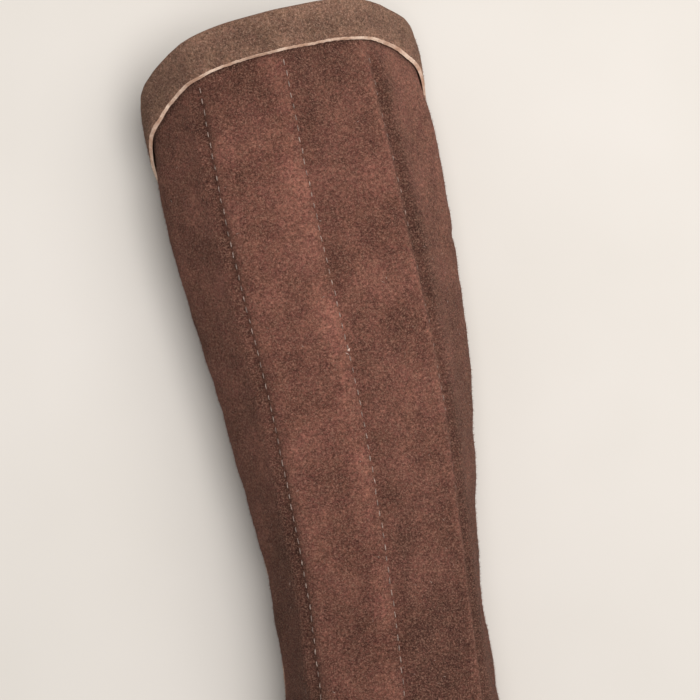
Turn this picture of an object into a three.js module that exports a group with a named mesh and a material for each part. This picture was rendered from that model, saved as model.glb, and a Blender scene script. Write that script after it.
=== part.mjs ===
// A leather greave: a shin guard of brown suede, stitched into stiff lengthwise channels and bound round its
// whole edge. It lies on its open back. Millimetres, +Z up. +Y points to the knee end and the shin faces up.
// The origin lies on the surface under the guard, in the middle of the rectangle that it covers.

import * as THREE from 'three';

// Driving dimensions of the whole guard.
const LENGTH = 400;
const SUEDE_WALL = 3;        // two layers of suede, where they are stitched together
const OUTER_PUFF = 2.2;      // how far a channel stands out of its seams on the shin side
const INNER_PUFF = 0.5;      // the same on the leg side
const SHOULDER = 7;          // from a seam to the full height of its channel
const EDGE_FADE = 16;        // from the binding to the full height of a channel
const GAP = 1.1;             // clearance between two pieces

// The flat leather pattern, from the centre seam at 0 to a side edge.
const FRONT_PANEL = 45;      // centre seam to side seam, at the calf
const HALF_PATTERN = 118;    // centre seam to side edge, at the calf
// The rounding of each end: how far its middle is flat, how far its corners are cut back, and by how much it
// is out of square.
const KNEE_ARCH = { flat: 20, drop: 78, skew: 0.054 };
const FOOT_ARCH = { flat: 70, drop: 28, skew: 0 };

// The cross-section at equal steps from the knee end to the foot end. Slopes are degrees down from level:
// of the front panel, of the side panel, and of the margin that turns under it. sideways moves the whole
// section, and lean moves only its crest.
const STATIONS = [
  { frontPanel: 45, halfPattern: 117, slopes: [21, 48.5, 124], sideways: 0.8, lean: -4 },
  { frontPanel: 45, halfPattern: 118, slopes: [8, 52, 125.5], sideways: 1.8, lean: -2.5 },
  { frontPanel: 44, halfPattern: 114, slopes: [12, 63, 126.5], sideways: 3.2, lean: -0.5 },
  { frontPanel: 41.5, halfPattern: 110, slopes: [15, 76, 124], sideways: -2, lean: 2 },
  { frontPanel: 41.5, halfPattern: 110, slopes: [12, 69.5, 126], sideways: -6.6, lean: 0 },
];
const CREST_TURN = 4;        // half the width over which the leather turns at the centre seam
const SEAM_TURN = 6;         // the same at a side seam
const MARGIN_TURN = 14;      // the same where the side panel turns into the margin
const SIDE_PANEL = 44;       // side seam to the middle of the margin's turn

// The edge binding: one strip of suede folded over the edge.
const BINDING_WALL = 1.3;
const BINDING_WIDTH = 18;
const EDGE_HEIGHT = 1.95;    // of the suede's side edges above the surface, which presses the fold flat

// The back straps: how far each lies below the knee end, and how far its clasp sits off the middle.
const STRAPS = [
  { name: 'calf', below: 118, claspOffset: 20 },
  { name: 'ankle', below: 300, claspOffset: 8 },
];
const STRAP_WIDTH = 25;
const STRAP_WALL = 2.5;
const STRAP_HEIGHT = 3.5;    // the middle of its straight run above the surface
const STRAP_SEWN = { top: 16.5, bottom: 7 };   // its sewn ends, measured in from the guard's edge
const CLASP = { length: 12, wall: 1.6, clearance: 0.45, corner: 1.6 };

// How finely each piece is faceted.
const FRONT_FACETS = 8;
const SIDE_FACETS = 12;
const ROWS = 24;
const STRAP_BEND_FACETS = 6;

const suede = new THREE.MeshStandardMaterial({ color: 0x6d4a3e, roughness: 0.95, metalness: 0 });
const bindingSuede = new THREE.MeshStandardMaterial({ color: 0x7c5a4c, roughness: 0.93, metalness: 0 });
const strapLeather = new THREE.MeshStandardMaterial({ color: 0x4a3026, roughness: 0.7, metalness: 0 });
const claspBrass = new THREE.MeshStandardMaterial({ color: 0x9a7b45, roughness: 0.4, metalness: 1 });

// ---- The form of the guard -------------------------------------------------------------------------------

// One value of the stations, carried smoothly through all of them.
function along(below, valueOf) {
  const last = STATIONS.length - 1;
  const place = THREE.MathUtils.clamp(below / LENGTH, 0, 1) * last;
  const index = Math.min(Math.floor(place), last - 1);
  const t = place - index;
  const before = valueOf(STATIONS[Math.max(index - 1, 0)]);
  const start = valueOf(STATIONS[index]);
  const end = valueOf(STATIONS[index + 1]);
  const after = valueOf(STATIONS[Math.min(index + 2, last)]);
  const startSlope = (end - before) / 2;
  const endSlope = (after - start) / 2;
  const rise = end - start;
  return start + t * startSlope + t * t * (3 * rise - 2 * startSlope - endSlope)
    + t * t * t * (startSlope + endSlope - 2 * rise);
}

function sectionAt(below) {
  return {
    frontPanel: along(below, (station) => station.frontPanel),
    halfPattern: along(below, (station) => station.halfPattern),
    slopes: [0, 1, 2].map((i) => THREE.MathUtils.degToRad(along(below, (station) => station.slopes[i]))),
    sideways: along(below, (station) => station.sideways),
    lean: along(below, (station) => station.lean),
  };
}

// The part of a turn that is done at a place on the pattern, from 0 before it to 1 after it.
function turned(place, middle, halfWidth) {
  return THREE.MathUtils.clamp((place - middle + halfWidth) / (2 * halfWidth), 0, 1);
}

function slopeAt(place, section) {
  const [front, side, margin] = section.slopes;
  const crest = 2 * turned(place, 0, CREST_TURN) - 1;
  const seam = turned(place, section.frontPanel, SEAM_TURN);
  const edge = turned(place, section.frontPanel + SIDE_PANEL, MARGIN_TURN);
  return crest * front + seam * (side - front) + edge * (margin - side);
}

// How far the leather runs out and down between two places on the pattern.
function runAndDrop(from, to, section) {
  const steps = Math.max(1, Math.ceil(Math.abs(to - from)));
  const step = (to - from) / steps;
  let run = 0;
  let drop = 0;
  for (let i = 0; i < steps; i += 1) {
    const slope = slopeAt(from + (i + 0.5) * step, section);
    run += Math.cos(slope) * step;
    drop += Math.sin(slope) * step;
  }
  return { run, drop };
}

// A point at a height above the middle of the wall, over one place of the flat pattern.
function onForm(across, below, height) {
  const section = sectionAt(below);
  const side = across < 0 ? -1 : 1;
  const place = Math.abs(across);
  const { run } = runAndDrop(0, place, section);
  const crestHeight = runAndDrop(0, section.halfPattern, section).drop + EDGE_HEIGHT;
  const z = EDGE_HEIGHT + runAndDrop(place, section.halfPattern, section).drop;
  const slope = slopeAt(place, section);
  const x = side * (run + Math.sin(slope) * height) + section.sideways + section.lean * (z / crestHeight);
  return new THREE.Vector3(x, LENGTH / 2 - below, z + Math.cos(slope) * height);
}

// How far an end of the pattern is cut back: beside its middle as a quarter of an ellipse, and by its skew
// more and more towards its -X side.
function cutBack(across, arch) {
  const reach = THREE.MathUtils.clamp((Math.abs(across) - arch.flat) / (HALF_PATTERN - arch.flat), 0, 1);
  return arch.drop * (1 - Math.sqrt(1 - reach * reach)) + arch.skew * (arch.flat - across);
}

// The columns of the pattern, closer together beside each seam and beside the edge.
function evenedOut(count) {
  return Array.from({ length: count }, (_, i) => (1 - Math.cos((Math.PI * (i + 1)) / count)) / 2);
}
const halfColumns = [
  ...evenedOut(FRONT_FACETS).map((share) => ({ front: share, side: 0 })),
  ...evenedOut(SIDE_FACETS).map((share) => ({ front: 1, side: share })),
];
const columns = [
  ...halfColumns.toReversed().map((column) => ({ ...column, sign: -1 })),
  { front: 0, side: 0, sign: 1 },
  ...halfColumns.map((column) => ({ ...column, sign: 1 })),
];

// The place on the flat pattern of a column at a share of the way from the knee edge to the foot edge.
function patternPoint(column, share) {
  const acrossOf = (front, half) => column.sign * (column.front * front + column.side * (half - front));
  const atCalf = acrossOf(FRONT_PANEL, HALF_PATTERN);
  const knee = cutBack(atCalf, KNEE_ARCH);
  const foot = LENGTH - cutBack(atCalf, FOOT_ARCH);
  const below = knee + share * (foot - knee);
  const section = sectionAt(below);
  return { across: acrossOf(section.frontPanel, section.halfPattern), below };
}

// The edge of the pattern, once round: along the knee, down one side, along the foot and up the other.
function patternEdge() {
  const shares = Array.from({ length: ROWS - 1 }, (_, i) => (i + 1) / ROWS);
  const left = columns[0];
  const right = columns[columns.length - 1];
  return [
    ...columns.map((column) => patternPoint(column, 0)),
    ...shares.map((share) => patternPoint(right, share)),
    ...columns.toReversed().map((column) => patternPoint(column, 1)),
    ...shares.toReversed().map((share) => patternPoint(left, share)),
  ];
}
const edge = patternEdge();
const edgeLines = edge.map((place, i) => {
  const [start, end] = [place, edge[(i + 1) % edge.length]].map(({ across, below }) => (
    new THREE.Vector3(across, below, 0)
  ));
  return new THREE.Line3(start, end);
});

function distanceFromEdge({ across, below }) {
  const place = new THREE.Vector3(across, below, 0);
  const distanceTo = (line) => line.closestPointToPoint(place, true, new THREE.Vector3()).distanceTo(place);
  return Math.min(...edgeLines.map(distanceTo));
}

// How much of its full puff the channel has at a place: none on a seam and none under the binding.
function puffAt(place) {
  const fromCentre = Math.abs(place.across);
  const fromSeam = Math.min(fromCentre, Math.abs(fromCentre - sectionAt(place.below).frontPanel));
  const shoulder = 1 - (1 - Math.min(fromSeam / SHOULDER, 1)) ** 2;
  const fromEdge = distanceFromEdge(place);
  return shoulder * THREE.MathUtils.smoothstep(fromEdge, BINDING_WIDTH, BINDING_WIDTH + EDGE_FADE);
}

// ---- Closed solids ---------------------------------------------------------------------------------------

function solid(points, triangles) {
  const geometry = new THREE.BufferGeometry();
  geometry.setAttribute('position', new THREE.Float32BufferAttribute(points.flatMap((p) => p.toArray()), 3));
  geometry.setIndex(triangles);
  geometry.computeVertexNormals();
  return geometry;
}

function quad(a, b, c, d) {
  return [a, b, c, a, c, d];
}

// A wall between two grids of points of the same size, closed round its rim. Seen from the front grid, rows
// run down and columns run to the right.
function wall(front, back) {
  const rowCount = front.length;
  const columnCount = front[0].length;
  const frontAt = (row, column) => row * columnCount + column;
  const backAt = (row, column) => rowCount * columnCount + frontAt(row, column);
  const triangles = [];
  for (let row = 0; row + 1 < rowCount; row += 1) {
    for (let column = 0; column + 1 < columnCount; column += 1) {
      const corners = [[row, column], [row + 1, column], [row + 1, column + 1], [row, column + 1]];
      triangles.push(...quad(...corners.map(([r, c]) => frontAt(r, c))));
      triangles.push(...quad(...corners.toReversed().map(([r, c]) => backAt(r, c))));
    }
  }
  const foot = rowCount - 1;
  const right = columnCount - 1;
  const upTo = (count) => Array.from({ length: count }, (_, i) => i);
  const rim = [
    ...upTo(foot).map((row) => [row, 0]),
    ...upTo(right).map((column) => [foot, column]),
    ...upTo(foot).map((row) => [foot - row, right]),
    ...upTo(right).map((column) => [0, right - column]),
  ];
  rim.forEach((here, i) => {
    const next = rim[(i + 1) % rim.length];
    triangles.push(...quad(frontAt(...here), backAt(...here), backAt(...next), frontAt(...next)));
  });
  return solid([...front.flat(), ...back.flat()], triangles);
}

// A closed section carried once round a closed route.
function hoop(sections) {
  const count = sections[0].length;
  const triangles = sections.flatMap((section, i) => {
    const next = (i + 1) % sections.length;
    return section.flatMap((_, j) => {
      const k = (j + 1) % count;
      return quad(i * count + j, next * count + j, next * count + k, i * count + k);
    });
  });
  return solid(sections.flat(), triangles);
}

// ---- The pieces ------------------------------------------------------------------------------------------

function suedeShell() {
  const rows = Array.from({ length: ROWS + 1 }, (_, i) => i / ROWS);
  const face = (heightAt) => rows.map((share) => columns.map((column) => {
    const place = patternPoint(column, share);
    return onForm(place.across, place.below, heightAt(puffAt(place)));
  }));
  const outer = face((puff) => SUEDE_WALL / 2 + puff * OUTER_PUFF);
  const inner = face((puff) => -SUEDE_WALL / 2 - puff * INNER_PUFF);
  return wall(outer, inner);
}

// The binding's section: [in from the guard's edge, above the middle of its wall], round the shin side, the
// fold and the leg side, then back along the inside.
function bindingSection() {
  const under = SUEDE_WALL / 2 + GAP;
  const over = under + BINDING_WALL;
  const fold = GAP + BINDING_WALL;
  const strip = [1, 0.67, 0.33].map((share) => share * BINDING_WIDTH);
  const outside = [
    ...strip.map((inwards) => [inwards, over]),
    [0, over],
    [-0.47 * fold, 0.91 * over],
    [-fold, 0.32 * over],
  ];
  const inside = [...strip.map((inwards) => [inwards, under]), [-GAP, under]];
  const mirrored = (points) => points.toReversed().map(([inwards, height]) => [inwards, -height]);
  return [...outside, ...mirrored(outside), ...mirrored(inside).toReversed(), ...inside.toReversed()];
}

// The binding is flattened where it rests on the surface.
function edgeBinding() {
  const section = bindingSection();
  return hoop(edge.map((place, i) => {
    const before = edge[(i + edge.length - 1) % edge.length];
    const after = edge[(i + 1) % edge.length];
    const inwards = new THREE.Vector2(before.below - after.below, after.across - before.across).normalize();
    return section.map(([distance, height]) => {
      const point = onForm(place.across + inwards.x * distance, place.below + inwards.y * distance, height);
      point.z = Math.max(point.z, 0);
      return point;
    });
  }));
}

// The middle line of a strap: down inside one edge of the guard, straight across, and up inside the other.
function strapRoute(below) {
  const height = -(SUEDE_WALL / 2 + 2 * GAP + BINDING_WALL + STRAP_WALL / 2);
  const { halfPattern } = sectionAt(below);
  const half = (side) => {
    const top = onForm(side * (halfPattern - STRAP_SEWN.top), below, height);
    const bottom = onForm(side * (halfPattern - STRAP_SEWN.bottom), below, height);
    const corner = top.clone().lerp(bottom, (top.z - STRAP_HEIGHT) / (top.z - bottom.z));
    const level = corner.clone().setX(corner.x - side * corner.distanceTo(bottom));
    const bend = new THREE.QuadraticBezierCurve3(bottom, corner, level);
    return [top, ...bend.getPoints(STRAP_BEND_FACETS)];
  };
  return [...half(-1), ...half(1).toReversed()];
}

function backStrap({ below }) {
  const routes = [-1, 0, 1].map((side) => strapRoute(below - (side * STRAP_WIDTH) / 2));
  const face = (height) => routes.toReversed().map((route) => route.map((point, i) => {
    const before = route[Math.max(i - 1, 0)];
    const after = route[Math.min(i + 1, route.length - 1)];
    const up = new THREE.Vector3(before.z - after.z, 0, after.x - before.x).normalize();
    return point.clone().addScaledVector(up, height);
  }));
  return wall(face(STRAP_WALL / 2), face(-STRAP_WALL / 2));
}

function roundedRectangle(path, width, height, corner) {
  const x = width / 2;
  const y = height / 2;
  path.moveTo(corner - x, -y);
  path.lineTo(x - corner, -y).absarc(x - corner, corner - y, corner, -Math.PI / 2, 0, false);
  path.lineTo(x, y - corner).absarc(x - corner, y - corner, corner, 0, Math.PI / 2, false);
  path.lineTo(corner - x, y).absarc(corner - x, y - corner, corner, Math.PI / 2, Math.PI, false);
  path.lineTo(-x, corner - y).absarc(corner - x, corner - y, corner, Math.PI, 1.5 * Math.PI, false);
  return path;
}

// A plain metal sleeve round a strap.
function strapClasp() {
  const inside = [STRAP_WIDTH + 2 * CLASP.clearance, STRAP_WALL + 2 * CLASP.clearance];
  const outside = inside.map((size) => size + 2 * CLASP.wall);
  const outline = roundedRectangle(new THREE.Shape(), ...outside, CLASP.corner);
  outline.holes.push(roundedRectangle(new THREE.Path(), ...inside, CLASP.corner / 4));
  return new THREE.ExtrudeGeometry(outline, { depth: CLASP.length, bevelEnabled: false, curveSegments: 2 });
}

function named(name, geometry, material) {
  const mesh = new THREE.Mesh(geometry, material);
  mesh.name = name;
  return mesh;
}

const greave = new THREE.Group();
greave.add(named('suede_shell', suedeShell(), suede));
greave.add(named('edge_binding', edgeBinding(), bindingSuede));
for (const strap of STRAPS) {
  greave.add(named(`${strap.name}_strap`, backStrap(strap), strapLeather));
  const clasp = named(`${strap.name}_clasp`, strapClasp(), claspBrass);
  clasp.position.set(strap.claspOffset - CLASP.length / 2, LENGTH / 2 - strap.below, STRAP_HEIGHT);
  clasp.rotation.set(Math.PI / 2, Math.PI / 2, 0);
  greave.add(clasp);
}

export default greave;
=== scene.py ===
"""A leather greave: a shin guard of brown suede, stitched into stiff channels and bound round its edge.

The pieces take the form of the CAD part's flat leather pattern. A place on the pattern is given by across,
from the centre seam with +X positive, and below, from the knee end. Lengths are in millimetres until a mesh
is made. Unevenness is given by rows of its size, its wavelength and the seed of its waves.
"""

import math

import bpy
import numpy as np
from mathutils import Matrix, Vector
from mathutils.kdtree import KDTree


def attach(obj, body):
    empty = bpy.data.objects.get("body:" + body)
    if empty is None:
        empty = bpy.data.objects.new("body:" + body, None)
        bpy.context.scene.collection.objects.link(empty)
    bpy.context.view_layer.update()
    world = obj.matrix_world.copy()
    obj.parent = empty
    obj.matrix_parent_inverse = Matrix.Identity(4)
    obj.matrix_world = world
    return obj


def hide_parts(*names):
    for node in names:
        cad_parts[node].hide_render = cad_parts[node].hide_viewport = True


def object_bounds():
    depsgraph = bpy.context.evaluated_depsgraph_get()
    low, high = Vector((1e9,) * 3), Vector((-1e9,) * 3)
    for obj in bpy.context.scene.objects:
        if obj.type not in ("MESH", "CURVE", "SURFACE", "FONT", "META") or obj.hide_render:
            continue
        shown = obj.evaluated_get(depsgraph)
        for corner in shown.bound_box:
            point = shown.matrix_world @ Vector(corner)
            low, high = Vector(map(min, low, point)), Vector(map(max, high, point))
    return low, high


MM = 0.001
SEEDS = {"binding": 41, "stitches": 51, "lint": 61, "fuzz": 71}

# ---- The dimensions of the CAD part -----------------------------------------------------------------------

LENGTH = 400
SUEDE_WALL = 3
OUTER_PUFF = 2.2
INNER_PUFF = 0.5
SHOULDER = 7
EDGE_FADE = 16
GAP = 1.1
FRONT_PANEL = 45
HALF_PATTERN = 118
KNEE_ARCH = {"flat": 20, "drop": 78, "skew": 0.054}
FOOT_ARCH = {"flat": 70, "drop": 28, "skew": 0}
STATIONS = {
    "front_panel": (45, 45, 44, 41.5, 41.5),
    "half_pattern": (117, 118, 114, 110, 110),
    "front_slope": (21, 8, 12, 15, 12),
    "side_slope": (48.5, 52, 63, 76, 69.5),
    "margin_slope": (124, 125.5, 126.5, 124, 126),
    "sideways": (0.8, 1.8, 3.2, -2, -6.6),
    "lean": (-4, -2.5, -0.5, 2, 0),
}
CREST_TURN = 4
SEAM_TURN = 6
MARGIN_TURN = 14
SIDE_PANEL = 44
BINDING_WALL = 1.3
BINDING_WIDTH = 18
EDGE_HEIGHT = 1.95
STRAPS = {"calf": 118, "ankle": 300}
STRAP_WIDTH = 25
STRAP_WALL = 2.5
STRAP_HEIGHT = 3.5
STRAP_SEWN = {"top": 16.5, "bottom": 7}

# ---- The form of the guard --------------------------------------------------------------------------------

TABLE_ACROSS_STEP = 0.25
TABLE_BELOW_STEP = 2.5
TABLE_REACH = 124


def along(name, below):
    """One value of the stations, carried smoothly through all of them."""
    values = np.array(STATIONS[name], float)
    last = len(values) - 1
    place = np.clip(np.asarray(below, float) / LENGTH, 0, 1) * last
    index = np.minimum(np.floor(place).astype(int), last - 1)
    t = place - index
    before = values[np.maximum(index - 1, 0)]
    start = values[index]
    end = values[index + 1]
    after = values[np.minimum(index + 2, last)]
    start_slope = (end - before) / 2
    end_slope = (after - start) / 2
    rise = end - start
    square_term = 3 * rise - 2 * start_slope - end_slope
    cube_term = start_slope + end_slope - 2 * rise
    return start + t * start_slope + t**2 * square_term + t**3 * cube_term


def turned(place, middle, half_width):
    return np.clip((place - middle + half_width) / (2 * half_width), 0, 1)


def slope_at(place, below):
    """How steeply the leather falls away from the crest, in radians."""
    front, side, margin = (
        np.radians(along(f"{panel}_slope", below)) for panel in ("front", "side", "margin")
    )
    front_panel = along("front_panel", below)
    crest = 2 * turned(place, 0, CREST_TURN) - 1
    seam = turned(place, front_panel, SEAM_TURN)
    edge = turned(place, front_panel + SIDE_PANEL, MARGIN_TURN)
    return crest * front + seam * (side - front) + edge * (margin - side)


def form_tables():
    """How far the leather runs out and down from the crest, on a grid of below and across."""
    below = np.arange(0, LENGTH + TABLE_BELOW_STEP, TABLE_BELOW_STEP)[:, None]
    across = np.arange(0, TABLE_REACH, TABLE_ACROSS_STEP)[None, :]
    slopes = slope_at(across, below)

    def summed(values):
        steps = (values[:, 1:] + values[:, :-1]) / 2 * TABLE_ACROSS_STEP
        return np.pad(np.cumsum(steps, axis=1), ((0, 0), (1, 0)))

    return summed(np.cos(slopes)), summed(np.sin(slopes))


RUN_TABLE, DROP_TABLE = form_tables()


def looked_up(table, place, below):
    row = np.clip(below, 0, LENGTH) / TABLE_BELOW_STEP
    column = place / TABLE_ACROSS_STEP
    i = np.clip(np.floor(row).astype(int), 0, table.shape[0] - 2)
    j = np.clip(np.floor(column).astype(int), 0, table.shape[1] - 2)
    u = row - i
    v = column - j
    upper = (1 - v) * table[i, j] + v * table[i, j + 1]
    lower = (1 - v) * table[i + 1, j] + v * table[i + 1, j + 1]
    return (1 - u) * upper + u * lower


def on_form(across, below, height):
    """The points at a height above the middle of the wall, over places of the flat pattern."""
    across, below, height = np.broadcast_arrays(*(np.asarray(v, float) for v in (across, below, height)))
    place = np.abs(across)
    half_pattern = along("half_pattern", below)
    whole_drop = looked_up(DROP_TABLE, half_pattern, below)
    z = EDGE_HEIGHT + whole_drop - looked_up(DROP_TABLE, place, below)
    slope = slope_at(place, below)
    lean = along("lean", below) * z / (whole_drop + EDGE_HEIGHT)
    out = looked_up(RUN_TABLE, place, below) + np.sin(slope) * height
    x = np.where(across < 0, -out, out) + along("sideways", below) + lean
    return np.stack([x, LENGTH / 2 - below, z + np.cos(slope) * height], axis=-1)


def cut_back(across, arch):
    """How far an end of the pattern is cut back, as a quarter of an ellipse and by its skew."""
    reach = np.clip((np.abs(across) - arch["flat"]) / (HALF_PATTERN - arch["flat"]), 0, 1)
    return arch["drop"] * (1 - np.sqrt(1 - reach**2)) + arch["skew"] * (arch["flat"] - across)


def pattern_place(at_calf, share):
    """The place of the pattern's lengthwise line at_calf, a share of the way from knee edge to foot edge."""
    knee = cut_back(at_calf, KNEE_ARCH)
    foot = LENGTH - cut_back(at_calf, FOOT_ARCH)
    below = knee + share * (foot - knee)
    front_share = np.clip(np.abs(at_calf) / FRONT_PANEL, 0, 1)
    side_share = np.clip((np.abs(at_calf) - FRONT_PANEL) / (HALF_PATTERN - FRONT_PANEL), 0, 1)
    front = along("front_panel", below)
    across = front_share * front + side_share * (along("half_pattern", below) - front)
    return np.sign(at_calf) * across, below


def spaced(count, crowding):
    """Shares from 0 to 1, crowded towards both ends."""
    even = np.linspace(0, 1, count + 1)
    return (1 - crowding) * even + crowding * (1 - np.cos(math.pi * even)) / 2


EDGE_SAMPLES = 801            # on each of the pattern's four stretches, before they are spaced evenly
EDGE_TREE_SPACING = 0.8


def pattern_edge(spacing):
    """Evenly spaced places round the pattern: along the knee, down one side, the foot and up the other."""
    sweep = np.sin(np.linspace(-1, 1, EDGE_SAMPLES) * math.pi / 2) * HALF_PATTERN
    shares = np.linspace(0, 1, EDGE_SAMPLES)
    stretches = [
        pattern_place(sweep, 0),
        pattern_place(np.full_like(shares, HALF_PATTERN), shares),
        pattern_place(sweep[::-1], 1),
        pattern_place(np.full_like(shares, -HALF_PATTERN), shares[::-1]),
    ]
    line = np.concatenate([np.stack(np.broadcast_arrays(*stretch), axis=-1)[:-1] for stretch in stretches])
    closed = np.vstack([line, line[:1]])
    lengths = np.concatenate([[0], np.cumsum(np.linalg.norm(np.diff(closed, axis=0), axis=1))])
    count = round(lengths[-1] / spacing)
    at = np.arange(count) * lengths[-1] / count
    return np.stack([np.interp(at, lengths, closed[:, i]) for i in range(2)], axis=-1)


def edge_tree():
    places = pattern_edge(EDGE_TREE_SPACING)
    tree = KDTree(len(places))
    for i, place in enumerate(places):
        tree.insert((*place, 0), i)
    tree.balance()
    return tree


EDGE_TREE = edge_tree()


def distance_from_edge(across, below):
    across, below = np.broadcast_arrays(across, below)
    flat = zip(across.ravel(), below.ravel())
    return np.array([EDGE_TREE.find((a, b, 0))[2] for a, b in flat]).reshape(across.shape)


def smooth_step(value, low, high):
    t = np.clip((value - low) / (high - low), 0, 1)
    return t * t * (3 - 2 * t)


def bell(distance, width):
    return np.exp(-((distance / width) ** 2))


RIPPLE_WAVES = 7
RIPPLE_SPREAD = (0.65, 1.5)    # the waves' lengths, as shares of the wavelength that is asked for
RIPPLE_GAIN = 1.6              # because the waves seldom meet crest on crest


def ripples(across, below, wavelength, seed):
    """A soft unevenness, mostly from -1 to 1, of about this wavelength."""
    draw = np.random.default_rng(seed)
    total = 0
    for _ in range(RIPPLE_WAVES):
        angle = draw.uniform(0, 2 * math.pi)
        length = wavelength * draw.uniform(*RIPPLE_SPREAD)
        phase = draw.uniform(0, 2 * math.pi)
        along_wave = across * math.cos(angle) + below * math.sin(angle)
        total = total + np.sin(2 * math.pi / length * along_wave + phase)
    return total / RIPPLE_WAVES * RIPPLE_GAIN


def uneven(across, below, rows):
    """The sum of several ripples, each row giving its size, wavelength and seed."""
    return sum(size * ripples(across, below, wavelength, seed) for size, wavelength, seed in rows)


# ---- The relief of the suede ------------------------------------------------------------------------------

STITCH_PITCH = 5.6
PUCKER = {"depth": 0.4, "width": 2.2}
SIDE_FOLD = {"depth": 1.3, "offset": 1.6, "width": 1.9}    # the crease on the outer side of each side seam
WORN_LIP = {"height": 1.1, "offset": -2.6, "width": 1.8}   # the ridge along the +X side seam
VALLEY = {"depth": 0.8, "offset": 3.6, "width": 3.2}       # the fold that sinks beside that ridge
SWELLS = ((0.55, 60, 11), (0.28, 24, 12), (0.12, 9, 13))
INNER_SWELLS = ((0.12, 24, 21),)
SIDE_WAVES = {"height": 0.55, "length": 47, "outward": (10, 35), "below": (190, 250)}
CREASE_ENDS = 0.45             # how soon a crease dies out, as a share of its length
CREASES = (
    {"start": (-92, 170), "end": (-72, 186), "depth": 0.7, "width": 2.4},
    {"start": (70, 128), "end": (92, 122), "depth": 0.6, "width": 2.2},
    {"start": (-60, 214), "end": (-47, 232), "depth": 0.4, "width": 2.0},
    {"start": (58, 292), "end": (80, 286), "depth": 0.5, "width": 2.6},
)


def crease_depth(across, below, crease):
    start = np.array(crease["start"], float)
    way = np.array(crease["end"], float) - start
    dx = across - start[0]
    dy = below - start[1]
    t = (dx * way[0] + dy * way[1]) / (way @ way)
    off = (dx * way[1] - dy * way[0]) / np.linalg.norm(way)
    return crease["depth"] * bell(off, crease["width"]) * bell(t - 0.5, CREASE_ENDS)


def channel_shoulder(across, below):
    place = np.abs(across)
    from_seam = np.minimum(place, np.abs(place - along("front_panel", below)))
    return 1 - (1 - np.minimum(from_seam / SHOULDER, 1)) ** 2


def free_of_binding(across, below):
    """How much of its relief the suede has at a place, from none under the binding to 1."""
    return smooth_step(distance_from_edge(across, below), BINDING_WIDTH, BINDING_WIDTH + EDGE_FADE)


def outer_height(across, below):
    """The shin side of the suede, above the middle of its wall."""
    front = along("front_panel", below)
    from_seams = [across + front, across, across - front]
    outward = np.abs(across) - front
    relief = OUTER_PUFF * channel_shoulder(across, below) + uneven(across, below, SWELLS)
    relief = relief - SIDE_FOLD["depth"] * bell(outward - SIDE_FOLD["offset"], SIDE_FOLD["width"])
    relief = relief + WORN_LIP["height"] * bell(from_seams[2] - WORN_LIP["offset"], WORN_LIP["width"])
    relief = relief - VALLEY["depth"] * bell(from_seams[2] - VALLEY["offset"], VALLEY["width"])
    side_wave = np.sin(2 * math.pi * below / SIDE_WAVES["length"] + np.sign(across))
    on_side = smooth_step(outward, *SIDE_WAVES["outward"]) * smooth_step(below, *SIDE_WAVES["below"])
    relief = relief + SIDE_WAVES["height"] * side_wave * on_side
    between_stitches = 0.5 + 0.5 * np.cos(2 * math.pi * below / STITCH_PITCH)
    for from_seam in from_seams:
        relief = relief - PUCKER["depth"] * bell(from_seam, PUCKER["width"]) * between_stitches
    for crease in CREASES:
        relief = relief - crease_depth(across, below, crease)
    return SUEDE_WALL / 2 + free_of_binding(across, below) * relief


def inner_height(across, below):
    """The leg side of the suede, below the middle of its wall."""
    relief = INNER_PUFF * channel_shoulder(across, below) + uneven(across, below, INNER_SWELLS)
    return -SUEDE_WALL / 2 - free_of_binding(across, below) * relief


# How the nap is brushed and worn, with painted shade and painted light laid over it. Each amount is added to
# a tone of 1.
TONE_PATCHES = ((0.13, 55, 31), (0.09, 18, 32))
CREASE_PAINTED_SHADE = {"offset": -2.4, "width": 3.0, "amount": -0.5}     # painted shade in the crease beside the -X seam
CENTRE_TONES = (
    {"offset": -5.0, "width": 5.5, "amount": 0.26},
    {"offset": 4.5, "width": 6.0, "amount": -0.2},
)
RIDGE_WEAR_AND_PAINTED_HIGHLIGHT = {"offset": -2.6, "width": 2.0, "amount": 0.36}      # a lighter band along the +X seam: rubbed nap and a painted highlight on the ridge
RIDGE_HIGHLIGHT_AND_WEAR_PATCHES = ((0.4, 30, 33),)
RIDGE_HIGHLIGHT_AND_WEAR_LEVEL = 0.8
VALLEY_PAINTED_SHADE = {"offset": 3.4, "width": 3.6, "amount": -0.42}     # painted shade in the fold outside the +X seam
# Where along that fold its painted shade is deepest.
VALLEY_SHADE_DEEPEST = {"below": 105, "width": 45, "level": 0.75, "more": 0.5}
# Painted shadow on the suede just beyond the binding's cut edge.
BINDING_EDGE_PAINTED_SHADOW = {"offset": BINDING_WIDTH + 1, "width": 1.4, "amount": -0.35}
# Painted shade and painted light over whole stretches of the suede, as the lamps fall on it: the band below
# the knee edge of the front, the foot end, the -X side, the +X side and the +X front panel darker; the +X
# side near the knee lighter.
KNEE_SHADE = {"offset": 22, "width": 24, "amount": -0.28}
FRONT_FADE = (-4, 8)
SEAM_FADE = (2, 8)             # how far from a seam the tone of a whole panel starts and is full
FOOT_SHADE = {"amount": -0.28, "below": (190, 350)}
LEFT_SIDE_SHADE = -0.26
RIGHT_SIDE_SHADE = {"amount": -0.12, "below": (60, 160)}
RIGHT_FRONT_SHADE = {"amount": -0.10, "at_foot": -0.08, "fade": (2, 10), "below": (240, 330)}
RIGHT_KNEE_LIGHT = {"amount": 0.22, "fade": (8, 14), "below": 50, "width": 70}
TONE_LIMITS = (0.45, 1.5)


def band(distance, row):
    return row["amount"] * bell(distance - row["offset"], row["width"])


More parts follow.
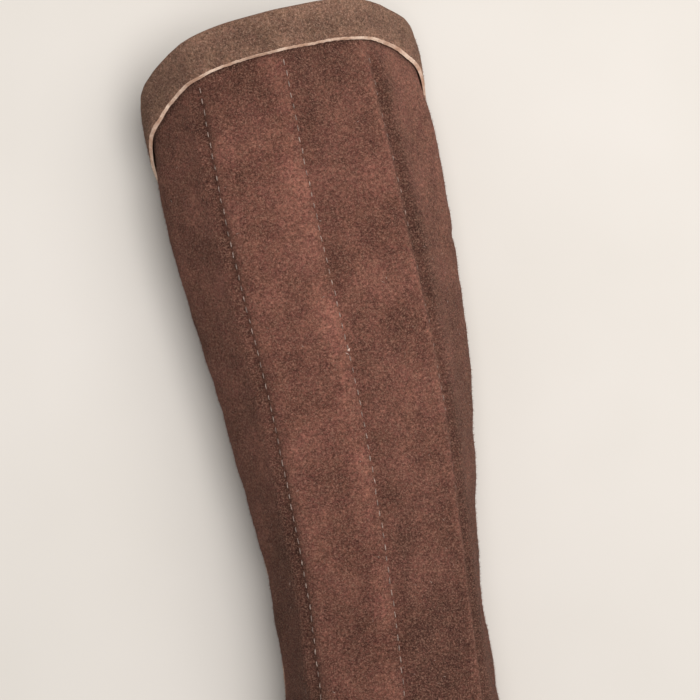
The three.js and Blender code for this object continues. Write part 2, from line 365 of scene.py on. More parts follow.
def suede_tone(across, below):
    """How light or dark the suede is, about 1: the nap's own patches and wear, with painted shade and painted
    light.
    """
    front = along("front_panel", below)
    left = across + front
    right = across - front
    # The patches are the nap's own tone; the band beside the -X seam is painted shade in its crease.
    tone = 1 + uneven(across, below, TONE_PATCHES) + band(left, CREASE_PAINTED_SHADE)
    for row in CENTRE_TONES:
        tone = tone + band(across, row)
    # Lighter along the ridge of the +X seam: partly rubbed nap, partly a painted highlight.
    tone = tone + band(right, RIDGE_WEAR_AND_PAINTED_HIGHLIGHT) * (RIDGE_HIGHLIGHT_AND_WEAR_LEVEL + uneven(across, below, RIDGE_HIGHLIGHT_AND_WEAR_PATCHES))
    # Painted shade in the fold outside the +X seam, deeper along one stretch of it.
    deepest = bell(below - VALLEY_SHADE_DEEPEST["below"], VALLEY_SHADE_DEEPEST["width"])
    tone = tone + band(right, VALLEY_PAINTED_SHADE) * (VALLEY_SHADE_DEEPEST["level"] + VALLEY_SHADE_DEEPEST["more"] * deepest)
    # Painted shadow on the suede just beyond the binding's cut edge.
    tone = tone + band(distance_from_edge(across, below), BINDING_EDGE_PAINTED_SHADOW)
    on_front = smooth_step(front - np.abs(across), *FRONT_FADE)
    # Painted shade and painted light over whole stretches of the suede, as the lamps fall on it.
    tone = tone + band(below - cut_back(across, KNEE_ARCH), KNEE_SHADE) * on_front
    tone = tone + FOOT_SHADE["amount"] * smooth_step(below, *FOOT_SHADE["below"])
    tone = tone + LEFT_SIDE_SHADE * smooth_step(-left, *SEAM_FADE)
    on_right_side = smooth_step(right, *SEAM_FADE) * smooth_step(below, *RIGHT_SIDE_SHADE["below"])
    tone = tone + RIGHT_SIDE_SHADE["amount"] * on_right_side
    on_right_front = smooth_step(across, *RIGHT_FRONT_SHADE["fade"])
    towards_foot = RIGHT_FRONT_SHADE["at_foot"] * smooth_step(below, *RIGHT_FRONT_SHADE["below"])
    tone = tone + on_right_front * (RIGHT_FRONT_SHADE["amount"] + towards_foot)
    near_knee = bell(below - RIGHT_KNEE_LIGHT["below"], RIGHT_KNEE_LIGHT["width"])
    tone = tone + RIGHT_KNEE_LIGHT["amount"] * smooth_step(right, *RIGHT_KNEE_LIGHT["fade"]) * near_knee
    return np.clip(tone, *TONE_LIMITS)


# ---- Meshes -----------------------------------------------------------------------------------------------


def placed(name, data):
    """A new object of the scene that holds a mesh, light or camera."""
    thing = bpy.data.objects.new(name, data)
    bpy.context.scene.collection.objects.link(thing)
    return thing


def piece_from(name, points, faces, materials, smooth_below=None):
    """A smooth mesh object from points in millimetres, with sharp edges past the angle smooth_below."""
    mesh = bpy.data.meshes.new(name)
    mesh.from_pydata((np.asarray(points) * MM).tolist(), [], faces)
    for material in materials:
        mesh.materials.append(material)
    mesh.polygons.foreach_set("use_smooth", np.ones(len(mesh.polygons), bool))
    if smooth_below is not None:
        mesh.set_sharp_from_angle(angle=math.radians(smooth_below))
    mesh.validate()
    return placed(name, mesh)


def give_tone(piece, tone):
    attribute = piece.data.attributes.new("tone", "FLOAT", "POINT")
    attribute.data.foreach_set("value", np.asarray(tone, np.float32).ravel())


def quads(a, b, c, d):
    return np.stack([a.ravel(), b.ravel(), c.ravel(), d.ravel()], axis=-1)


def wall_faces(row_count, column_count):
    """The faces of a closed wall between a front and a back grid. Rows run down, columns to the right."""
    front = np.arange(row_count * column_count).reshape(row_count, column_count)
    back = front + front.size
    rim = np.concatenate([front[:-1, 0], front[-1, :-1], front[:0:-1, -1], front[0, :0:-1]])
    after = np.roll(rim, -1)
    return np.concatenate([
        quads(front[:-1, :-1], front[1:, :-1], front[1:, 1:], front[:-1, 1:]),
        quads(back[:-1, 1:], back[1:, 1:], back[1:, :-1], back[:-1, :-1]),
        quads(rim, rim + front.size, after + front.size, after),
    ])


def tube_faces(ring_count, point_count, closed_route):
    """The side faces of sections carried along a route."""
    grid = np.arange(ring_count * point_count).reshape(ring_count, point_count)
    after = np.roll(grid, -1, axis=0) if closed_route else grid[1:]
    here = grid if closed_route else grid[:-1]
    return quads(here, after, np.roll(after, -1, axis=1), np.roll(here, -1, axis=1))


# ---- Materials --------------------------------------------------------------------------------------------


class Nodes:
    """A material's node tree, with short calls for what the materials below need."""

    def __init__(self, name):
        self.material = bpy.data.materials.new(name)
        self.material.use_nodes = True
        self.tree = self.material.node_tree
        self.shader = self.tree.nodes["Principled BSDF"]
        coordinates = self.tree.nodes.new("ShaderNodeTexCoord")
        self.place = coordinates.outputs["Object"]

    def put(self, kind, inputs, **settings):
        node = self.tree.nodes.new(kind)
        for name, value in settings.items():
            setattr(node, name, value)
        for name, value in inputs.items():
            if isinstance(value, bpy.types.NodeSocket):
                self.tree.links.new(value, node.inputs[name])
            else:
                node.inputs[name].default_value = value
        return node

    def noise(self, size_mm, detail=4.0, roughness=0.6):
        inputs = {"Vector": self.place, "Scale": 1 / (size_mm * MM), "Detail": detail, "Roughness": roughness}
        return self.put("ShaderNodeTexNoise", inputs).outputs["Fac"]

    def scaled(self, value, low, high, to_low, to_high):
        inputs = {0: value, 1: low, 2: high, 3: to_low, 4: to_high}
        return self.put("ShaderNodeMapRange", inputs).outputs["Result"]

    def spread(self, value, low, high):
        return self.scaled(value, low, high, 0, 1)

    def math(self, operation, first, second):
        return self.put("ShaderNodeMath", {0: first, 1: second}, operation=operation).outputs["Value"]

    def mix(self, factor, first, second):
        inputs = {0: factor, 6: first, 7: second}     # the Mix node's sockets for colours
        return self.put("ShaderNodeMix", inputs, data_type="RGBA").outputs[2]

    def shaded(self, colour_value, factor):
        inputs = {0: colour_value, "Scale": factor}
        return self.put("ShaderNodeVectorMath", inputs, operation="SCALE").outputs["Vector"]

    def attribute(self, name):
        return self.put("ShaderNodeAttribute", {}, attribute_name=name).outputs["Fac"]

    def bump(self, height, distance_mm, strength=1.0, under=None):
        inputs = {"Height": height, "Distance": distance_mm * MM, "Strength": strength}
        if under is not None:
            inputs["Normal"] = under
        return self.put("ShaderNodeBump", inputs).outputs["Normal"]

    def finish(self, colour, roughness, normal, **uniform):
        self.tree.links.new(colour, self.shader.inputs["Base Color"])
        self.tree.links.new(normal, self.shader.inputs["Normal"])
        if isinstance(roughness, bpy.types.NodeSocket):
            self.tree.links.new(roughness, self.shader.inputs["Roughness"])
        else:
            self.shader.inputs["Roughness"].default_value = roughness
        for name, value in uniform.items():
            self.shader.inputs[name.replace("_", " ")].default_value = value
        return self.material


def colour(red, green, blue):
    """A colour written as it looks on screen, from 0 to 255, in the scene's linear values."""
    def linear(value):
        value = value / 255
        return value / 12.92 if value <= 0.04045 else ((value + 0.055) / 1.055) ** 2.4

    return (linear(red), linear(green), linear(blue), 1.0)


def suede_material(name, deep, base, worn, pale):
    """Brushed suede: a mottled ground, a short nap with light tips, and no gloss."""
    nodes = Nodes(name)
    mottle = nodes.spread(nodes.noise(26, 3, 0.55), 0.34, 0.66)
    patches = nodes.spread(nodes.noise(7, 4, 0.6), 0.36, 0.64)
    nap = nodes.spread(nodes.noise(1.6, 6, 0.85), 0.4, 0.6)
    tips = nodes.spread(nodes.noise(0.85, 4, 0.8), 0.5, 0.62)
    ground = nodes.mix(mottle, colour(*deep), colour(*base))
    ground = nodes.mix(nodes.math("MULTIPLY", patches, 0.35), ground, colour(*worn))
    shade = nodes.scaled(nap, 0, 1, 0.45, 1.5)
    # The tone attribute multiplies in the nap's own tone together with painted shade and painted light.
    shade = nodes.math("MULTIPLY", shade, nodes.attribute("tone"))
    napped = nodes.shaded(ground, shade)
    final = nodes.mix(nodes.math("MULTIPLY", tips, 0.42), napped, colour(*pale))
    coarse = nodes.bump(nodes.noise(4.5, 3, 0.6), 0.5, 0.6)
    fine = nodes.bump(nap, 0.45, 0.75, under=coarse)
    return nodes.finish(
        final, 1.0, fine, Specular_IOR_Level=0.12, Sheen_Weight=0.16, Sheen_Roughness=0.45,
        Sheen_Tint=colour(205, 170, 150),
    )


def cut_edge_material():
    """The pale undyed core of the suede, where its edge is cut."""
    nodes = Nodes("pale_cut_edge")
    fibres = nodes.spread(nodes.noise(1.1, 5, 0.7), 0.34, 0.68)
    patches = nodes.spread(nodes.noise(9, 3, 0.6), 0.36, 0.62)
    ground = nodes.mix(patches, colour(196, 158, 136), colour(244, 218, 198))
    final = nodes.mix(nodes.math("MULTIPLY", fibres, 0.5), ground, colour(150, 108, 88))
    return nodes.finish(final, 1.0, nodes.bump(fibres, 0.3, 0.7), Specular_IOR_Level=0.1)


def thread_material():
    nodes = Nodes("stitch_thread")
    twist = nodes.spread(nodes.noise(0.6, 3, 0.6), 0.35, 0.65)
    ground = nodes.mix(twist, colour(128, 104, 96), colour(196, 174, 162))
    toned = nodes.shaded(ground, nodes.attribute("tone"))
    return nodes.finish(toned, 0.75, nodes.bump(twist, 0.15, 0.6), Specular_IOR_Level=0.3)


def strap_material():
    """Smooth dark leather with a fine grain and scuffed patches."""
    nodes = Nodes("strap_leather")
    cells = {"Vector": nodes.place, "Scale": 1 / (1.1 * MM)}
    pores = nodes.put("ShaderNodeTexVoronoi", cells).outputs["Distance"]
    scuffs = nodes.spread(nodes.noise(14, 5, 0.65), 0.42, 0.68)
    grain = nodes.spread(nodes.noise(2.2, 5, 0.7), 0.35, 0.65)
    ground = nodes.mix(grain, colour(58, 37, 29), colour(82, 54, 42))
    final = nodes.mix(nodes.math("MULTIPLY", scuffs, 0.4), ground, colour(112, 78, 60))
    rough = nodes.scaled(scuffs, 0, 1, 0.48, 0.7)
    normal = nodes.bump(grain, 0.12, 0.5, under=nodes.bump(pores, 0.12, 0.5))
    return nodes.finish(final, rough, normal, Specular_IOR_Level=0.45)


def brass_material():
    """Satin brass with light brushing and a little tarnish."""
    nodes = Nodes("clasp_brass")
    tarnish = nodes.spread(nodes.noise(5, 6, 0.65), 0.48, 0.72)
    brushing = nodes.noise(0.5, 2, 0.5)
    final = nodes.mix(tarnish, colour(176, 144, 86), colour(110, 82, 46))
    rough = nodes.scaled(tarnish, 0, 1, 0.3, 0.6)
    return nodes.finish(final, rough, nodes.bump(brushing, 0.04, 0.4), Metallic=1.0)


def floor_material():
    nodes = Nodes("pale_floor")
    cloudy = nodes.spread(nodes.noise(160, 3, 0.5), 0.3, 0.7)
    final = nodes.mix(cloudy, colour(209, 204, 198), colour(214, 209, 204))
    return nodes.finish(final, 0.95, nodes.bump(nodes.noise(3, 3, 0.6), 0.05, 0.3), Specular_IOR_Level=0.1)


# ---- The pieces -------------------------------------------------------------------------------------------

SHELL_COLUMNS = {"front": 26, "side": 44}    # on each side of the centre seam
SHELL_ROWS = 328
CROWDING = 0.5                 # of the columns towards the seams and the edge
INNER_TONE = 0.95
INNER_TONE_PATCHES = ((0.08, 40, 34),)


def suede_shell(material):
    front = FRONT_PANEL * spaced(SHELL_COLUMNS["front"], CROWDING)
    side = FRONT_PANEL + (HALF_PATTERN - FRONT_PANEL) * spaced(SHELL_COLUMNS["side"], CROWDING)
    half = np.concatenate([front[1:], side[1:]])
    at_calf = np.concatenate([-half[::-1], [0], half])[None, :]
    share = np.linspace(0, 1, SHELL_ROWS + 1)[:, None]
    across, below = pattern_place(at_calf, share)
    faces = wall_faces(*across.shape)
    outer = on_form(across, below, outer_height(across, below))
    inner = on_form(across, below, inner_height(across, below))
    points = np.concatenate([outer.reshape(-1, 3), inner.reshape(-1, 3)])
    shell = piece_from("suede_shell_fine", points, faces.tolist(), [material])
    inner_tone = INNER_TONE + uneven(across, below, INNER_TONE_PATCHES)
    give_tone(shell, np.concatenate([suede_tone(across, below).ravel(), inner_tone.ravel()]))
    return shell


BINDING_SPACING = 1.5
BINDING_CROWN = 0.9            # how far the middle of the strip swells
CROWN_SHAPE = 0.8
FOLD_SHAPE = 0.75
CUT_EDGE = {"back": 0.5, "ahead": 0.7, "lift": 0.3}   # the slanted cut, either side of the binding's width
CUT_LIFT_LEVEL = 0.6
CUT_LIFT_PATCHES = ((1, 30, 43),)
CUT_WANDER = ((0.35, 22, 42),)
CUT_JITTER = 0.09
NEAR_CUT = 7                   # how far from its cut edge the strip is loose
BINDING_SOFTNESS = ((0.22, 14, 44), (0.12, 6, 45))
BINDING_PATCHES = ((0.10, 45, 46), (0.07, 13, 47))
# The left amount is painted shade on the binding's -X side.
BINDING_TONES = {"middle": -0.12, "near_cut": 0.10, "left": -0.12}
BINDING_MIDDLE = {"at": 8, "width": 5}
BINDING_LEFT_PAINTED_SHADE = (40, 90)        # how far to the -X side its painted shade starts and is full
BINDING_SHARP = 55             # degrees between faces, past which an edge isn't smoothed


def binding_section():
    """The section [in from the edge, above the middle of the wall], and where its cut edges begin."""
    under = SUEDE_WALL / 2 + GAP
    over = under + BINDING_WALL
    fold = GAP + BINDING_WALL
    width = BINDING_WIDTH
    strip = width - CUT_EDGE["back"]
    shares = np.linspace(1, 0, 12)[:-1]
    crown = BINDING_CROWN * np.sin(math.pi * shares) ** CROWN_SHAPE
    top = [(strip * share, over + swell) for share, swell in zip(shares, crown)]
    angles = np.linspace(math.pi / 2, -math.pi / 2, 13)
    turn = [(-fold * math.cos(angle) ** FOLD_SHAPE, over * math.sin(angle)) for angle in angles]
    leg = [(strip * share, -over) for share in np.linspace(0, 1, 7)[1:]]
    leg_inside = [((width + CUT_EDGE["ahead"]) * share, -under) for share in np.linspace(1, 0, 5)]
    inside_turn = [(-GAP, -under * 0.6), (-GAP, 0), (-GAP, under * 0.6)]
    top_inside = [((width + CUT_EDGE["ahead"]) * share, under) for share in np.linspace(0, 1, 9)]
    section = top + turn + leg + leg_inside + inside_turn + top_inside
    leg_cut = len(top) + len(turn) + len(leg) - 1
    return np.array(section), [leg_cut, len(section) - 1]


def edge_binding(materials):
    places = pattern_edge(BINDING_SPACING)
    tangent = np.roll(places, -1, axis=0) - np.roll(places, 1, axis=0)
    inwards = np.stack([-tangent[:, 1], tangent[:, 0]], axis=-1)
    inwards = inwards / np.linalg.norm(inwards, axis=1)[:, None]
    section, cuts = binding_section()
    draw = np.random.default_rng(SEEDS["binding"])
    distance = np.repeat(section[None, :, 0], len(places), axis=0)
    height = np.repeat(section[None, :, 1], len(places), axis=0)
    wander = uneven(places[:, 0], places[:, 1], CUT_WANDER) + draw.normal(0, CUT_JITTER, len(places))
    near_cut = smooth_step(distance, BINDING_WIDTH - NEAR_CUT, BINDING_WIDTH)
    distance = distance + wander[:, None] * near_cut
    outer = section[None, :, 1] > SUEDE_WALL / 2 + GAP
    lift = CUT_EDGE["lift"] * (CUT_LIFT_LEVEL + uneven(places[:, 0], places[:, 1], CUT_LIFT_PATCHES))
    height = height + outer * near_cut * lift[:, None]
    across = places[:, :1] + inwards[:, :1] * distance
    below = places[:, 1:] + inwards[:, 1:] * distance
    height = height + outer * uneven(across, below, BINDING_SOFTNESS)
    points = on_form(across, below, height)
    points[..., 2] = np.maximum(points[..., 2], 0)
    faces = tube_faces(*across.shape, closed_route=True)
    binding = piece_from("edge_binding_fine", points.reshape(-1, 3), faces.tolist(), materials, BINDING_SHARP)
    is_cut = np.isin(np.arange(len(faces)) % len(section), cuts)
    binding.data.polygons.foreach_set("material_index", is_cut.astype(np.int32))
    middle_of_strip = bell(distance - BINDING_MIDDLE["at"], BINDING_MIDDLE["width"])
    tone = 1 + uneven(across, below, BINDING_PATCHES) + BINDING_TONES["middle"] * middle_of_strip
    tone = tone + BINDING_TONES["near_cut"] * near_cut
    # Painted shade on the binding's -X side.
    tone = tone + BINDING_TONES["left"] * smooth_step(-across, *BINDING_LEFT_PAINTED_SHADE)
    give_tone(binding, tone)
    return binding


STITCH = {"length": 3.0, "radius": 0.24, "arch": 0.2, "proud": 0.1, "sink": (0, 0.264), "tone": (0.6, 1.0)}
STITCH_JITTER = {"below": 0.12, "across": 0.14, "turn": 0.05, "length": 0.22, "radius": 0.08}
STITCH_RINGS = 7
STITCH_SIDES = 6
ROD_TIP = 0.2                  # the width of a rod's tip, as a share of its middle
SEAM_STARTS = BINDING_WIDTH + 2
SEAM_INSETS = (0.7, 0, 0.6)     # the -X seam's thread lies on its front panel, the +X seam's in its valley
SEAM_BURIED = (0, 0, 0.35)      # how much deeper each seam's thread is sunk in the nap


def capsules(across, below, height, turn, length, radius, arch, sides):
    """Small rounded rods on the form, one for each place, turned from the pattern's length."""
    steps = np.sin(np.linspace(-1, 1, STITCH_RINGS) * math.pi / 2)
    angles = np.arange(sides) * 2 * math.pi / sides
    thickness = np.sqrt(np.maximum(1 - np.abs(steps) ** 3, ROD_TIP**2))
    lengthwise = steps[None, :, None] * length[:, None, None] / 2
    ring = radius[:, None, None] * thickness[None, :, None]
    sideways = ring * np.cos(angles)[None, None, :]
    up = ring * np.sin(angles)[None, None, :] + (arch[:, None, None] * (1 - steps[None, :, None] ** 2))
    cos = np.cos(turn)[:, None, None]
    sin = np.sin(turn)[:, None, None]
    a = across[:, None, None] + cos * sideways + sin * lengthwise
    b = below[:, None, None] - sin * sideways + cos * lengthwise
    return on_form(a, b, height[:, None, None] + up)


def rods_piece(name, groups, tones, material):
    """Joins groups of rods into one mesh, each rod closed at both ends."""
    points = []
    faces = []
    start = 0
    for group in groups:
        rods, rings, sides = group.shape[:3]
        body = tube_faces(rings, sides, closed_route=False)
        first = np.arange(sides)
        last = (rings - 1) * sides + first[::-1]
        for rod in range(rods):
            offset = start + rod * rings * sides
            faces.extend((body + offset).tolist())
            faces.append((first + offset).tolist())
            faces.append((last + offset).tolist())
        points.append(group.reshape(-1, 3))
        start += group.size // 3
    piece = piece_from(name, np.concatenate(points), faces, [material])
    per_point = [np.repeat(tone, group.shape[1] * group.shape[2]) for tone, group in zip(tones, groups)]
    give_tone(piece, np.concatenate(per_point))
    return piece


def seam_stitches(material):
    draw = np.random.default_rng(SEEDS["stitches"])
    groups = []
    tones = []
    for side, inset, sunk in zip((-1, 0, 1), SEAM_INSETS, SEAM_BURIED):
        seam_at_calf = side * FRONT_PANEL
        first = cut_back(seam_at_calf, KNEE_ARCH) + SEAM_STARTS
        last = LENGTH - cut_back(seam_at_calf, FOOT_ARCH) - SEAM_STARTS
        pitch_number = np.arange(math.ceil(first / STITCH_PITCH), math.floor(last / STITCH_PITCH))
        below = (pitch_number + 0.5) * STITCH_PITCH
        count = len(below)
        below = below + draw.normal(0, STITCH_JITTER["below"], count)
        across = side * along("front_panel", below) + inset + draw.normal(0, STITCH_JITTER["across"], count)
        turn = draw.normal(0, STITCH_JITTER["turn"], count)
        length = STITCH["length"] + draw.normal(0, STITCH_JITTER["length"], count)
        radius = STITCH["radius"] * (1 + draw.normal(0, STITCH_JITTER["radius"], count))
        buried = sunk - STITCH["proud"] + draw.uniform(*STITCH["sink"], count)
        arch = np.full(count, STITCH["arch"])
        outside = outer_height(across, below) - buried
        groups.append(capsules(across, below, outside, turn, length, radius, arch, STITCH_SIDES))
        tones.append(draw.uniform(*STITCH["tone"], count))
        inside = inner_height(across, below) + buried
        groups.append(capsules(across, below, inside, turn, length, radius, -arch, STITCH_SIDES))
        tones.append(draw.uniform(*STITCH["tone"], count))
    return rods_piece("seam_stitches", groups, tones, material)


LINT = {
    "count": 70, "across": (-80, 80), "below": (60, 350), "length": (0.5, 1.7), "radius": (0.06, 0.14),
    "arch": (0.05, 0.3), "tone": (0.6, 1.2), "lift": 0.05, "sides": 4,
}
KNOT = {"below": 172, "lift": 0.2, "arch": 0.3, "tone": 1.45}
KNOT_STRANDS = (
    # across, below its middle, turn, length, radius
    (0.2, 0, 0.2, 1.5, 0.42),
    (0.1, 0.1, 1.3, 1.4, 0.42),
    (0.3, -0.2, 2.3, 1.5, 0.4),
    (-0.9, 1.6, 0.9, 2.2, 0.16),
)


def lint_and_knot(material):
    """Specks of pale lint on the shin side, and the knot of a thread on the centre seam."""
    draw = np.random.default_rng(SEEDS["lint"])
    count = LINT["count"]
    across = draw.uniform(*LINT["across"], count)
    below = draw.uniform(*LINT["below"], count)
    turn = draw.uniform(0, math.pi, count)
    length = draw.uniform(*LINT["length"], count)
    radius = draw.uniform(*LINT["radius"], count)
    arch = draw.uniform(*LINT["arch"], count)
    height = outer_height(across, below) + LINT["lift"]
    specks = capsules(across, below, height, turn, length, radius, arch, LINT["sides"])
    across, below, turn, length, radius = np.transpose(KNOT_STRANDS)
    below = below + KNOT["below"]
    height = outer_height(across, below) + KNOT["lift"]
    arch = np.full(len(KNOT_STRANDS), KNOT["arch"])
    knot = capsules(across, below, height, turn, length, radius, arch, STITCH_SIDES)
    tones = [draw.uniform(*LINT["tone"], count), np.full(len(KNOT_STRANDS), KNOT["tone"])]
    return rods_piece("lint_and_knot", [specks, knot], tones, material)


FUZZ = {
    "count": 44000, "root": 0.11, "sunk": 0.1, "spread": 0.6, "rise": (0.3, 1.1), "tone": (0.9, 2.0),
    "across": (-0.97, 0.97), "below": (0.01, 0.99),      # shares of the pattern
    "clear_of_fold": 1.5, "clear_of_cut": (-1, 1.5),
}
SPIKE = np.array([(0, 1, 2), (1, 0, 3), (2, 1, 3), (0, 2, 3)])      # three root points and a tip


def skin_height(across, below):
    """The shin side of whichever piece is on top, above the middle of the wall."""
    edge_share = np.clip(distance_from_edge(across, below) / BINDING_WIDTH, 0, 1)
    crown = BINDING_CROWN * np.sin(math.pi * edge_share) ** CROWN_SHAPE
    strip = SUEDE_WALL / 2 + GAP + BINDING_WALL + crown
    return np.where(edge_share < 1, strip, outer_height(across, below))


def nap_fuzz(suede_nap, binding_nap):
    """Loose fibres that stand up out of the nap of the shell and the binding, each a thin closed spike."""
    draw = np.random.default_rng(SEEDS["fuzz"])
    count = FUZZ["count"]
    at_calf = draw.uniform(*FUZZ["across"], count) * HALF_PATTERN
    across, below = pattern_place(at_calf, draw.uniform(*FUZZ["below"], count))
    lean_across, lean_below = draw.normal(0, FUZZ["spread"], (2, count))
    rise = draw.uniform(*FUZZ["rise"], count)
    height = skin_height(across, below)
    inside = distance_from_edge(across, below)
    angles = np.radians((0, 120, 240))[None, :]
    fuzz = []
    strip_end, suede_start = (BINDING_WIDTH + clear for clear in FUZZ["clear_of_cut"])
    for name, material, chosen in (
        ("suede_fuzz", suede_nap, inside > suede_start),
        ("binding_fuzz", binding_nap, (inside > FUZZ["clear_of_fold"]) & (inside < strip_end)),
    ):
        a, b, root = across[chosen], below[chosen], height[chosen]
        root_across = a[:, None] + FUZZ["root"] * np.cos(angles)
        root_below = b[:, None] + FUZZ["root"] * np.sin(angles)
        roots = on_form(root_across, root_below, root[:, None] - FUZZ["sunk"])
        tips = on_form(a + lean_across[chosen], b + lean_below[chosen], root + rise[chosen])[:, None]
        points = np.concatenate([roots, tips], axis=1)
        faces = SPIKE[None] + 4 * np.arange(len(points))[:, None, None]
        piece = piece_from(name, points.reshape(-1, 3), faces.reshape(-1, 3).tolist(), [material])
        give_tone(piece, np.repeat(draw.uniform(*FUZZ["tone"], len(points)), 4))
        fuzz.append(piece)
    return fuzz


STRAP_BEND_STEPS = 24
STRAP_SPAN_STEPS = 60
STRAP_SEWN_STEPS = 5
STRAP_EDGE_ROUND = 0.7
STRAP_SHARP = 50


def strap_route(below):
    """The middle line of a strap: down inside one edge, straight across, and up inside the other."""
    height = -(SUEDE_WALL / 2 + 2 * GAP + BINDING_WALL + STRAP_WALL / 2)
    half_pattern = along("half_pattern", below)

    def half(side):
        top = on_form(side * (half_pattern - STRAP_SEWN["top"]), below, height)
        bottom = on_form(side * (half_pattern - STRAP_SEWN["bottom"]), below, height)
        corner = top + (bottom - top) * (top[2] - STRAP_HEIGHT) / (top[2] - bottom[2])
        level = corner - [side * np.linalg.norm(corner - bottom), 0, 0]
        t = np.linspace(0, 1, STRAP_BEND_STEPS)[:, None]
        bend = (1 - t) ** 2 * bottom + 2 * t * (1 - t) * corner + t**2 * level
        sewn = np.linspace(top, bottom, STRAP_SEWN_STEPS + 1)[:-1]
        return np.vstack([sewn, bend])

    left = half(-1)
    right = half(1)[::-1]
    span = np.linspace(left[-1], right[0], STRAP_SPAN_STEPS)[1:-1]
    return np.vstack([left, span, right])


def strap_section():
    """The rounded section of a strap: [along the guard, above its middle]."""
    x = STRAP_WIDTH / 2 - STRAP_EDGE_ROUND
    y = STRAP_WALL / 2 - STRAP_EDGE_ROUND
    points = []
    for quarter, (cx, cy) in enumerate(((x, y), (-x, y), (-x, -y), (x, -y))):
        for angle in np.radians(np.linspace(0, 90, 5) + 90 * quarter):
            round_x = STRAP_EDGE_ROUND * math.cos(angle)
            round_y = STRAP_EDGE_ROUND * math.sin(angle)
            points.append((cx + round_x, cy + round_y))
    return points


def back_strap(name, below, material):
    section = strap_section()
    sides = []
    for offset, height in section:
        route = strap_route(below - offset)
        ahead = np.vstack([route[1:], route[-1:]])
        behind = np.vstack([route[:1], route[:-1]])
        way = ahead - behind
        up = np.stack([-way[:, 2], np.zeros(len(route)), way[:, 0]], axis=-1)
        up = up / np.linalg.norm(up, axis=1)[:, None]
        sides.append(route + up * height)
    rings = np.stack(sides, axis=1)
    count = len(section)
    faces = tube_faces(len(rings), count, closed_route=False).tolist()
    faces.append(list(range(count)))
    faces.append([(len(rings) - 1) * count + i for i in reversed(range(count))])
    strap = piece_from(f"{name}_strap_fine", rings.reshape(-1, 3), faces, [material], STRAP_SHARP)
    middle = strap_route(below)
    length = np.linalg.norm(np.diff(middle, axis=0), axis=1).sum()
    return strap, length


CLASP_WELD = 0.01
CLASP_EDGE = {"width": 0.5, "steps": 3, "from_angle": 35, "sharp": 40}


def strap_clasp(name, material):
    """The CAD sleeve with its edges rounded."""
    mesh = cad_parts[f"{name}_clasp"].data.copy()
    mesh.name = f"{name}_clasp_fine"
    mesh.materials.clear()
    mesh.materials.append(material)
    clasp = placed(mesh.name, mesh)
    weld = clasp.modifiers.new("weld", "WELD")
    weld.merge_threshold = CLASP_WELD * MM
    bevel = clasp.modifiers.new("round", "BEVEL")
    bevel.width = CLASP_EDGE["width"] * MM
    bevel.segments = CLASP_EDGE["steps"]
    bevel.limit_method = "ANGLE"
    bevel.angle_limit = math.radians(CLASP_EDGE["from_angle"])
    evaluated = clasp.evaluated_get(bpy.context.evaluated_depsgraph_get())
    rounded = bpy.data.meshes.new_from_object(evaluated)
    clasp.modifiers.clear()
    clasp.data = rounded
    rounded.polygons.foreach_set("use_smooth", np.ones(len(rounded.polygons), bool))
    rounded.set_sharp_from_angle(angle=math.radians(CLASP_EDGE["sharp"]))
    return clasp


# ---- The stage --------------------------------------------------------------------------------------------

CAMERA_DISTANCE = 2.3
CAMERA_WIDTH = 0.3533        # across the view, at the guard's middle height
CAMERA_LEFT = 7.1           # degrees off straight above, towards -X
CAMERA_FOOTWARDS = 0.3
CAMERA_SPIN = 10.8           # how far the guard leans to the left in the view
CAMERA_AIM = (0.0018, 0.0293)    # right and up in the view, from the guard's middle
SENSOR = 36
CLIP_END = 20


def view_directions():
    """The view's right, up and back."""
    back = Vector((-math.sin(math.radians(CAMERA_LEFT)), -math.sin(math.radians(CAMERA_FOOTWARDS)), 0))
    back.z = math.sqrt(1 - back.length_squared)
    up = (Vector((0, 1, 0)) - back * back.y).normalized()
    spin = Matrix.Rotation(math.radians(CAMERA_SPIN), 3, back)
    up = spin.inverted() @ up
    return up.cross(back), up, back


def aimed(thing, place, target, up):
    """Puts a camera or light at a place, looking at a target."""
    back = (place - target).normalized()
    right = up.cross(back).normalized()
    turn = Matrix((right, back.cross(right), back)).transposed().to_4x4()
    thing.matrix_world = Matrix.Translation(place) @ turn


def camera_over(middle):
    right, up, back = view_directions()
    data = bpy.data.cameras.new("camera")
    data.sensor_width = SENSOR
    data.lens = SENSOR * CAMERA_DISTANCE / CAMERA_WIDTH
    data.clip_end = CLIP_END
    camera = placed("camera", data)
    target = middle + right * CAMERA_AIM[0] + up * CAMERA_AIM[1]
    aimed(camera, middle + back * CAMERA_DISTANCE, target, up)
    bpy.context.scene.camera = camera


LIGHTS = (
    # name, place to the right, up and back in the view, size, power, colour
    ("overhead", (0.3, 0.3, 1.7), 1.5, 26, (1.0, 0.99, 0.97)),
    ("key", (0.85, 0.65, 1.15), 1.2, 11, (1.0, 0.97, 0.93)),
)
WORLD_LIGHT = 0.3
WORLD_COLOUR = (1.0, 0.985, 0.965, 1)


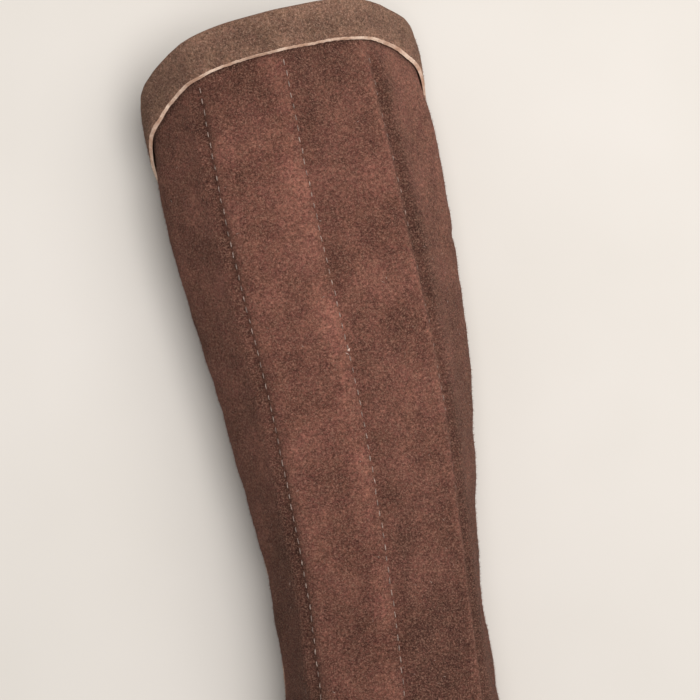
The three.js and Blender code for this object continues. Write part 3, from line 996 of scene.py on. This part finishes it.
def studio_lights(middle):
    right, up, back = view_directions()
    for name, place, size, power, tint in LIGHTS:
        data = bpy.data.lights.new(name, "AREA")
        data.shape = "DISK"
        data.size = size
        data.energy = power
        data.color = tint
        where = middle + right * place[0] + up * place[1] + back * place[2]
        aimed(placed(name, data), where, middle, Vector((0, 1, 0)))
    world = bpy.data.worlds.new("studio")
    world.use_nodes = True
    background = world.node_tree.nodes["Background"]
    background.inputs["Color"].default_value = WORLD_COLOUR
    background.inputs["Strength"].default_value = WORLD_LIGHT
    bpy.context.scene.world = world


FLOOR_SIZE = 8.0
FLOOR_DEPTH = 0.0002           # just under the pressed edge of the binding


def pale_floor():
    bpy.ops.mesh.primitive_plane_add(size=FLOOR_SIZE, location=(0, 0, -FLOOR_DEPTH))
    floor = bpy.context.object
    floor.name = "floor"
    floor.data.materials.append(floor_material())


# ---- Putting it together ----------------------------------------------------------------------------------

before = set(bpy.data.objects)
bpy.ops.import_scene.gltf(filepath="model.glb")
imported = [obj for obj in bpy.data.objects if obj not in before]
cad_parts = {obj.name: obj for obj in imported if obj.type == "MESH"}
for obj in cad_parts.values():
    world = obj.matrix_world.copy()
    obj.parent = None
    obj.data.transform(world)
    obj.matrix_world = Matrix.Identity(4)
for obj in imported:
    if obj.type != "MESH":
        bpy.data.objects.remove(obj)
cad_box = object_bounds()
bpy.context.scene.view_settings.view_transform = "Standard"

suede = suede_material(
    "brown_suede", deep=(90, 53, 46), base=(120, 75, 66), worn=(134, 92, 74), pale=(186, 143, 122),
)
binding_suede = suede_material(
    "binding_suede", deep=(92, 64, 54), base=(126, 92, 78), worn=(138, 108, 86), pale=(200, 166, 144),
)
cut_edge = cut_edge_material()
thread = thread_material()
strap_leather = strap_material()
brass = brass_material()

shell = suede_shell(suede)
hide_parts("suede_shell")

binding = edge_binding([binding_suede, cut_edge])
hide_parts("edge_binding")

stitches = seam_stitches(thread)
lint = lint_and_knot(thread)
suede_fuzz, binding_fuzz = nap_fuzz(suede, binding_suede)
pieces = [shell, binding, stitches, lint, suede_fuzz, binding_fuzz]

for name, below in STRAPS.items():
    strap, strap_length = back_strap(name, below, strap_leather)
    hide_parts(f"{name}_strap")
    clasp = strap_clasp(name, brass)
    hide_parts(f"{name}_clasp")
    pieces += [strap, clasp]

for piece in pieces:
    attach(piece, "root")

middle = (Vector(cad_box[0]) + Vector(cad_box[1])) / 2
pale_floor()
camera_over(middle)
studio_lights(middle)
